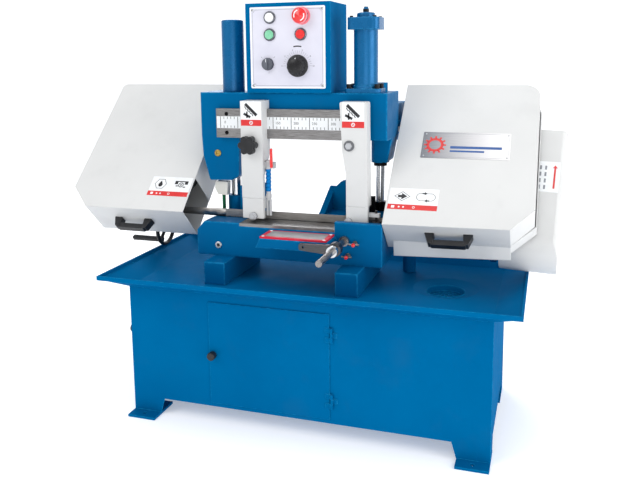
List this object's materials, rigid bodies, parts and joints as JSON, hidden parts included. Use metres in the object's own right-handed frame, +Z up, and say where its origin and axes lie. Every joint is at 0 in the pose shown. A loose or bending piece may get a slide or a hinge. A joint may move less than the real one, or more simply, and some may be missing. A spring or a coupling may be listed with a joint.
{
  "type": "horizontal band saw",
  "caption": "Twin-column horizontal band saw on a sheet-metal cabinet: sliding blade guide, vise, chip tray, tilted band wheels under hinged covers and a control box.",
  "frame": {"origin": "on the floor, under the middle of the machine's overall box", "axes": "+X to the right along the cabinet, seen from the operator's side; +Y to the back; +Z up"},
  "size_m": [1.6886, 0.814, 1.337],
  "materials": {
    "blue_paint": "semi-gloss",
    "white_paint": "semi-gloss",
    "ground_steel": "ground",
    "dark_steel": "machined",
    "band_steel": "rolled",
    "hard_chrome": "polished",
    "cast_iron": "machined",
    "grey_paint": "satin",
    "black_plastic": "moulded",
    "panel_face": "printed",
    "bezel_metal": "satin",
    "green_plastic": "gloss",
    "red_plastic": "gloss",
    "white_plastic": "gloss",
    "belt_rubber": "matte"
  },
  "bodies": {
    "base": {"cabinet": "blue_paint", "chip_tray": "blue_paint", "coolant_pump": "grey_paint", "hydraulic_unit": "grey_paint", "saddle_blocks": "blue_paint", "bed_casting": "blue_paint", "table_plates": "ground_steel", "outfeed_plate": "grey_paint", "fixed_jaw": "blue_paint", "guide_columns": "hard_chrome", "lift_piston_rod": "hard_chrome", "stop_rod": "hard_chrome", "limit_switch": "white_plastic"},
    "front_door": {"cabinet_door": "blue_paint"},
    "front_knob": {"door_knob": "black_plastic"},
    "left_door": {"side_door": "blue_paint"},
    "left_knob": {"side_door_knob": "black_plastic"},
    "jaw": {"moving_jaw": "blue_paint"},
    "vise_drive": {"vise_screw": "dark_steel", "vise_handwheel": "black_plastic"},
    "grip": {"handwheel_grip": "black_plastic"},
    "collar": {"stop_collar": "hard_chrome"},
    "stop": {"stop_arm": "dark_steel"},
    "bow": {"bridge_casting": "blue_paint", "guide_rail": "ground_steel", "right_arm": "white_paint", "right_guide": "white_paint", "lift_cylinder": "blue_paint", "column_sleeve": "blue_paint", "control_box": "blue_paint", "control_panel": "panel_face", "button_bezels": "bezel_metal", "right_wheel_case": "white_paint", "left_wheel_case": "white_paint", "idler_axle": "dark_steel", "gearbox": "blue_paint", "motor": "blue_paint", "belt_guard": "white_paint", "drive_belt": "belt_rubber", "saw_blade": "band_steel"},
    "sliding_arm": {"left_arm": "white_paint", "left_guide": "white_paint", "coolant_line": "bezel_metal"},
    "arm_knob": {"star_knob": "black_plastic"},
    "tap": {"coolant_lever": "red_plastic"},
    "idler_cover": {"left_cover": "white_paint", "left_cover_handle": "black_plastic"},
    "drive_cover": {"right_cover": "white_paint", "right_cover_handle": "black_plastic"},
    "drive_rotor": {"drive_wheel": "cast_iron", "drive_shaft": "dark_steel"},
    "idler_rotor": {"idler_wheel": "cast_iron"},
    "worm_rotor": {"worm_shaft": "dark_steel"},
    "motor_rotor": {"motor_pulley": "cast_iron"},
    "brush": {"chip_brush": "black_plastic"},
    "start": {"start_button": "green_plastic"},
    "halt": {"stop_button": "red_plastic"},
    "emergency": {"emergency_stop": "red_plastic"},
    "selector": {"selector_switch": "black_plastic"},
    "dial": {"feed_dial": "black_plastic"}
  },
  "joints": [
    {"name": "front_door_swing", "type": "hinge", "parent": "base", "child": "front_door", "pos_m": [0.18472, -0.30746, 0.236], "axis": [0, 0, 1], "range_deg": [0, 110]},
    {"name": "front_knob_turn", "type": "hinge", "parent": "front_door", "child": "front_knob", "pos_m": [-0.20628, -0.30496, 0.233], "axis": [0, 1, 0], "range_deg": [0, 90]},
    {"name": "left_door_swing", "type": "hinge", "parent": "base", "child": "left_door", "pos_m": [-0.50778, 0.00504, 0.24], "axis": [0, 0, -1], "range_deg": [0, 110]},
    {"name": "left_knob_turn", "type": "hinge", "parent": "left_door", "child": "left_knob", "pos_m": [-0.50528, -0.25796, 0.27], "axis": [-1, 0, 0], "range_deg": [0, 90]},
    {"name": "jaw_slide", "type": "slide", "parent": "base", "child": "jaw", "axis": [1, 0, 0], "range_m": [-0.01, 0.17]},
    {"name": "vise_screw_turn", "type": "hinge", "parent": "base", "child": "vise_drive", "pos_m": [-0.56328, 0.04804, 0.54], "axis": [1, 0, 0], "range_deg": [-720, 12240]},
    {"name": "grip_spin", "type": "hinge", "parent": "vise_drive", "child": "grip", "pos_m": [-0.62328, 0.01269, 0.50465], "axis": [1, 0, 0], "continuous": true},
    {"name": "collar_slide", "type": "slide", "parent": "base", "child": "collar", "axis": [0, -1, 0], "range_m": [0, 0.11]},
    {"name": "stop_swing", "type": "hinge", "parent": "collar", "child": "stop", "pos_m": [0.17972, -0.24396, 0.588], "axis": [0, 1, 0], "range_deg": [-60, 180]},
    {"name": "bow_lift", "type": "slide", "parent": "base", "child": "bow", "axis": [0, 0, 1], "range_m": [0, 0.25]},
    {"name": "arm_slide", "type": "slide", "parent": "bow", "child": "sliding_arm", "axis": [1, 0, 0], "range_m": [-0.09, 0.16]},
    {"name": "arm_knob_turn", "type": "hinge", "parent": "sliding_arm", "child": "arm_knob", "pos_m": [-0.15228, -0.10196, 0.879], "axis": [0, 1, 0], "range_deg": [0, 180]},
    {"name": "tap_turn", "type": "hinge", "parent": "sliding_arm", "child": "tap", "pos_m": [-0.08028, -0.09396, 0.812], "axis": [0, 1, 0], "range_deg": [0, 90]},
    {"name": "idler_cover_swing", "type": "hinge", "parent": "bow", "child": "idler_cover", "pos_m": [-0.61328, 0.37337, 0.959], "axis": [-1, 0, 0], "range_deg": [0, 90]},
    {"name": "drive_cover_swing", "type": "hinge", "parent": "bow", "child": "drive_cover", "pos_m": [0.53272, 0.3366, 0.99577], "axis": [-1, 0, 0], "range_deg": [0, 90]},
    {"name": "drive_wheel_spin", "type": "hinge", "parent": "bow", "child": "drive_rotor", "pos_m": [0.53272, 0.08452, 0.77197], "axis": [0, -0.7071, 0.7071], "continuous": true},
    {"name": "idler_wheel_spin", "type": "hinge", "parent": "bow", "child": "idler_rotor", "pos_m": [-0.61328, 0.08452, 0.77197], "axis": [0, -0.7071, 0.7071], "continuous": true},
    {"name": "worm_spin", "type": "hinge", "parent": "bow", "child": "worm_rotor", "pos_m": [0.53847, 0.25482, 0.75702], "axis": [0.9986, -0.037, -0.037], "continuous": true},
    {"name": "motor_spin", "type": "hinge", "parent": "bow", "child": "motor_rotor", "pos_m": [0.52434, 0.06416, 0.56636], "axis": [0.9986, -0.037, -0.037], "continuous": true},
    {"name": "brush_spin", "type": "hinge", "parent": "bow", "child": "brush", "pos_m": [0.26672, -0.07196, 0.65], "axis": [0, 0, 1], "continuous": true},
    {"name": "start_push", "type": "slide", "parent": "bow", "child": "start", "axis": [0, 1, 0], "range_m": [0, 0.003], "stiffness_N_per_m": 300},
    {"name": "halt_push", "type": "slide", "parent": "bow", "child": "halt", "axis": [0, 1, 0], "range_m": [0, 0.003], "stiffness_N_per_m": 300},
    {"name": "emergency_push", "type": "slide", "parent": "bow", "child": "emergency", "axis": [0, 1, 0], "range_m": [0, 0.006]},
    {"name": "selector_turn", "type": "hinge", "parent": "bow", "child": "selector", "pos_m": [-0.10528, -0.04296, 1.14], "axis": [0, 1, 0], "range_deg": [-45, 45]},
    {"name": "dial_turn", "type": "hinge", "parent": "bow", "child": "dial", "pos_m": [-0.00228, -0.04296, 1.134], "axis": [0, 1, 0], "range_deg": [0, 270]}
  ],
  "couplings": [
    {"joint": "vise_screw_turn", "follows": "jaw_slide", "rad_per_m": 1256.6},
    {"joint": "idler_wheel_spin", "follows": "drive_wheel_spin", "ratio": 1},
    {"joint": "worm_spin", "follows": "drive_wheel_spin", "ratio": 30},
    {"joint": "motor_spin", "follows": "drive_wheel_spin", "ratio": 48.947},
    {"joint": "brush_spin", "follows": "drive_wheel_spin", "ratio": 5}
  ]
}
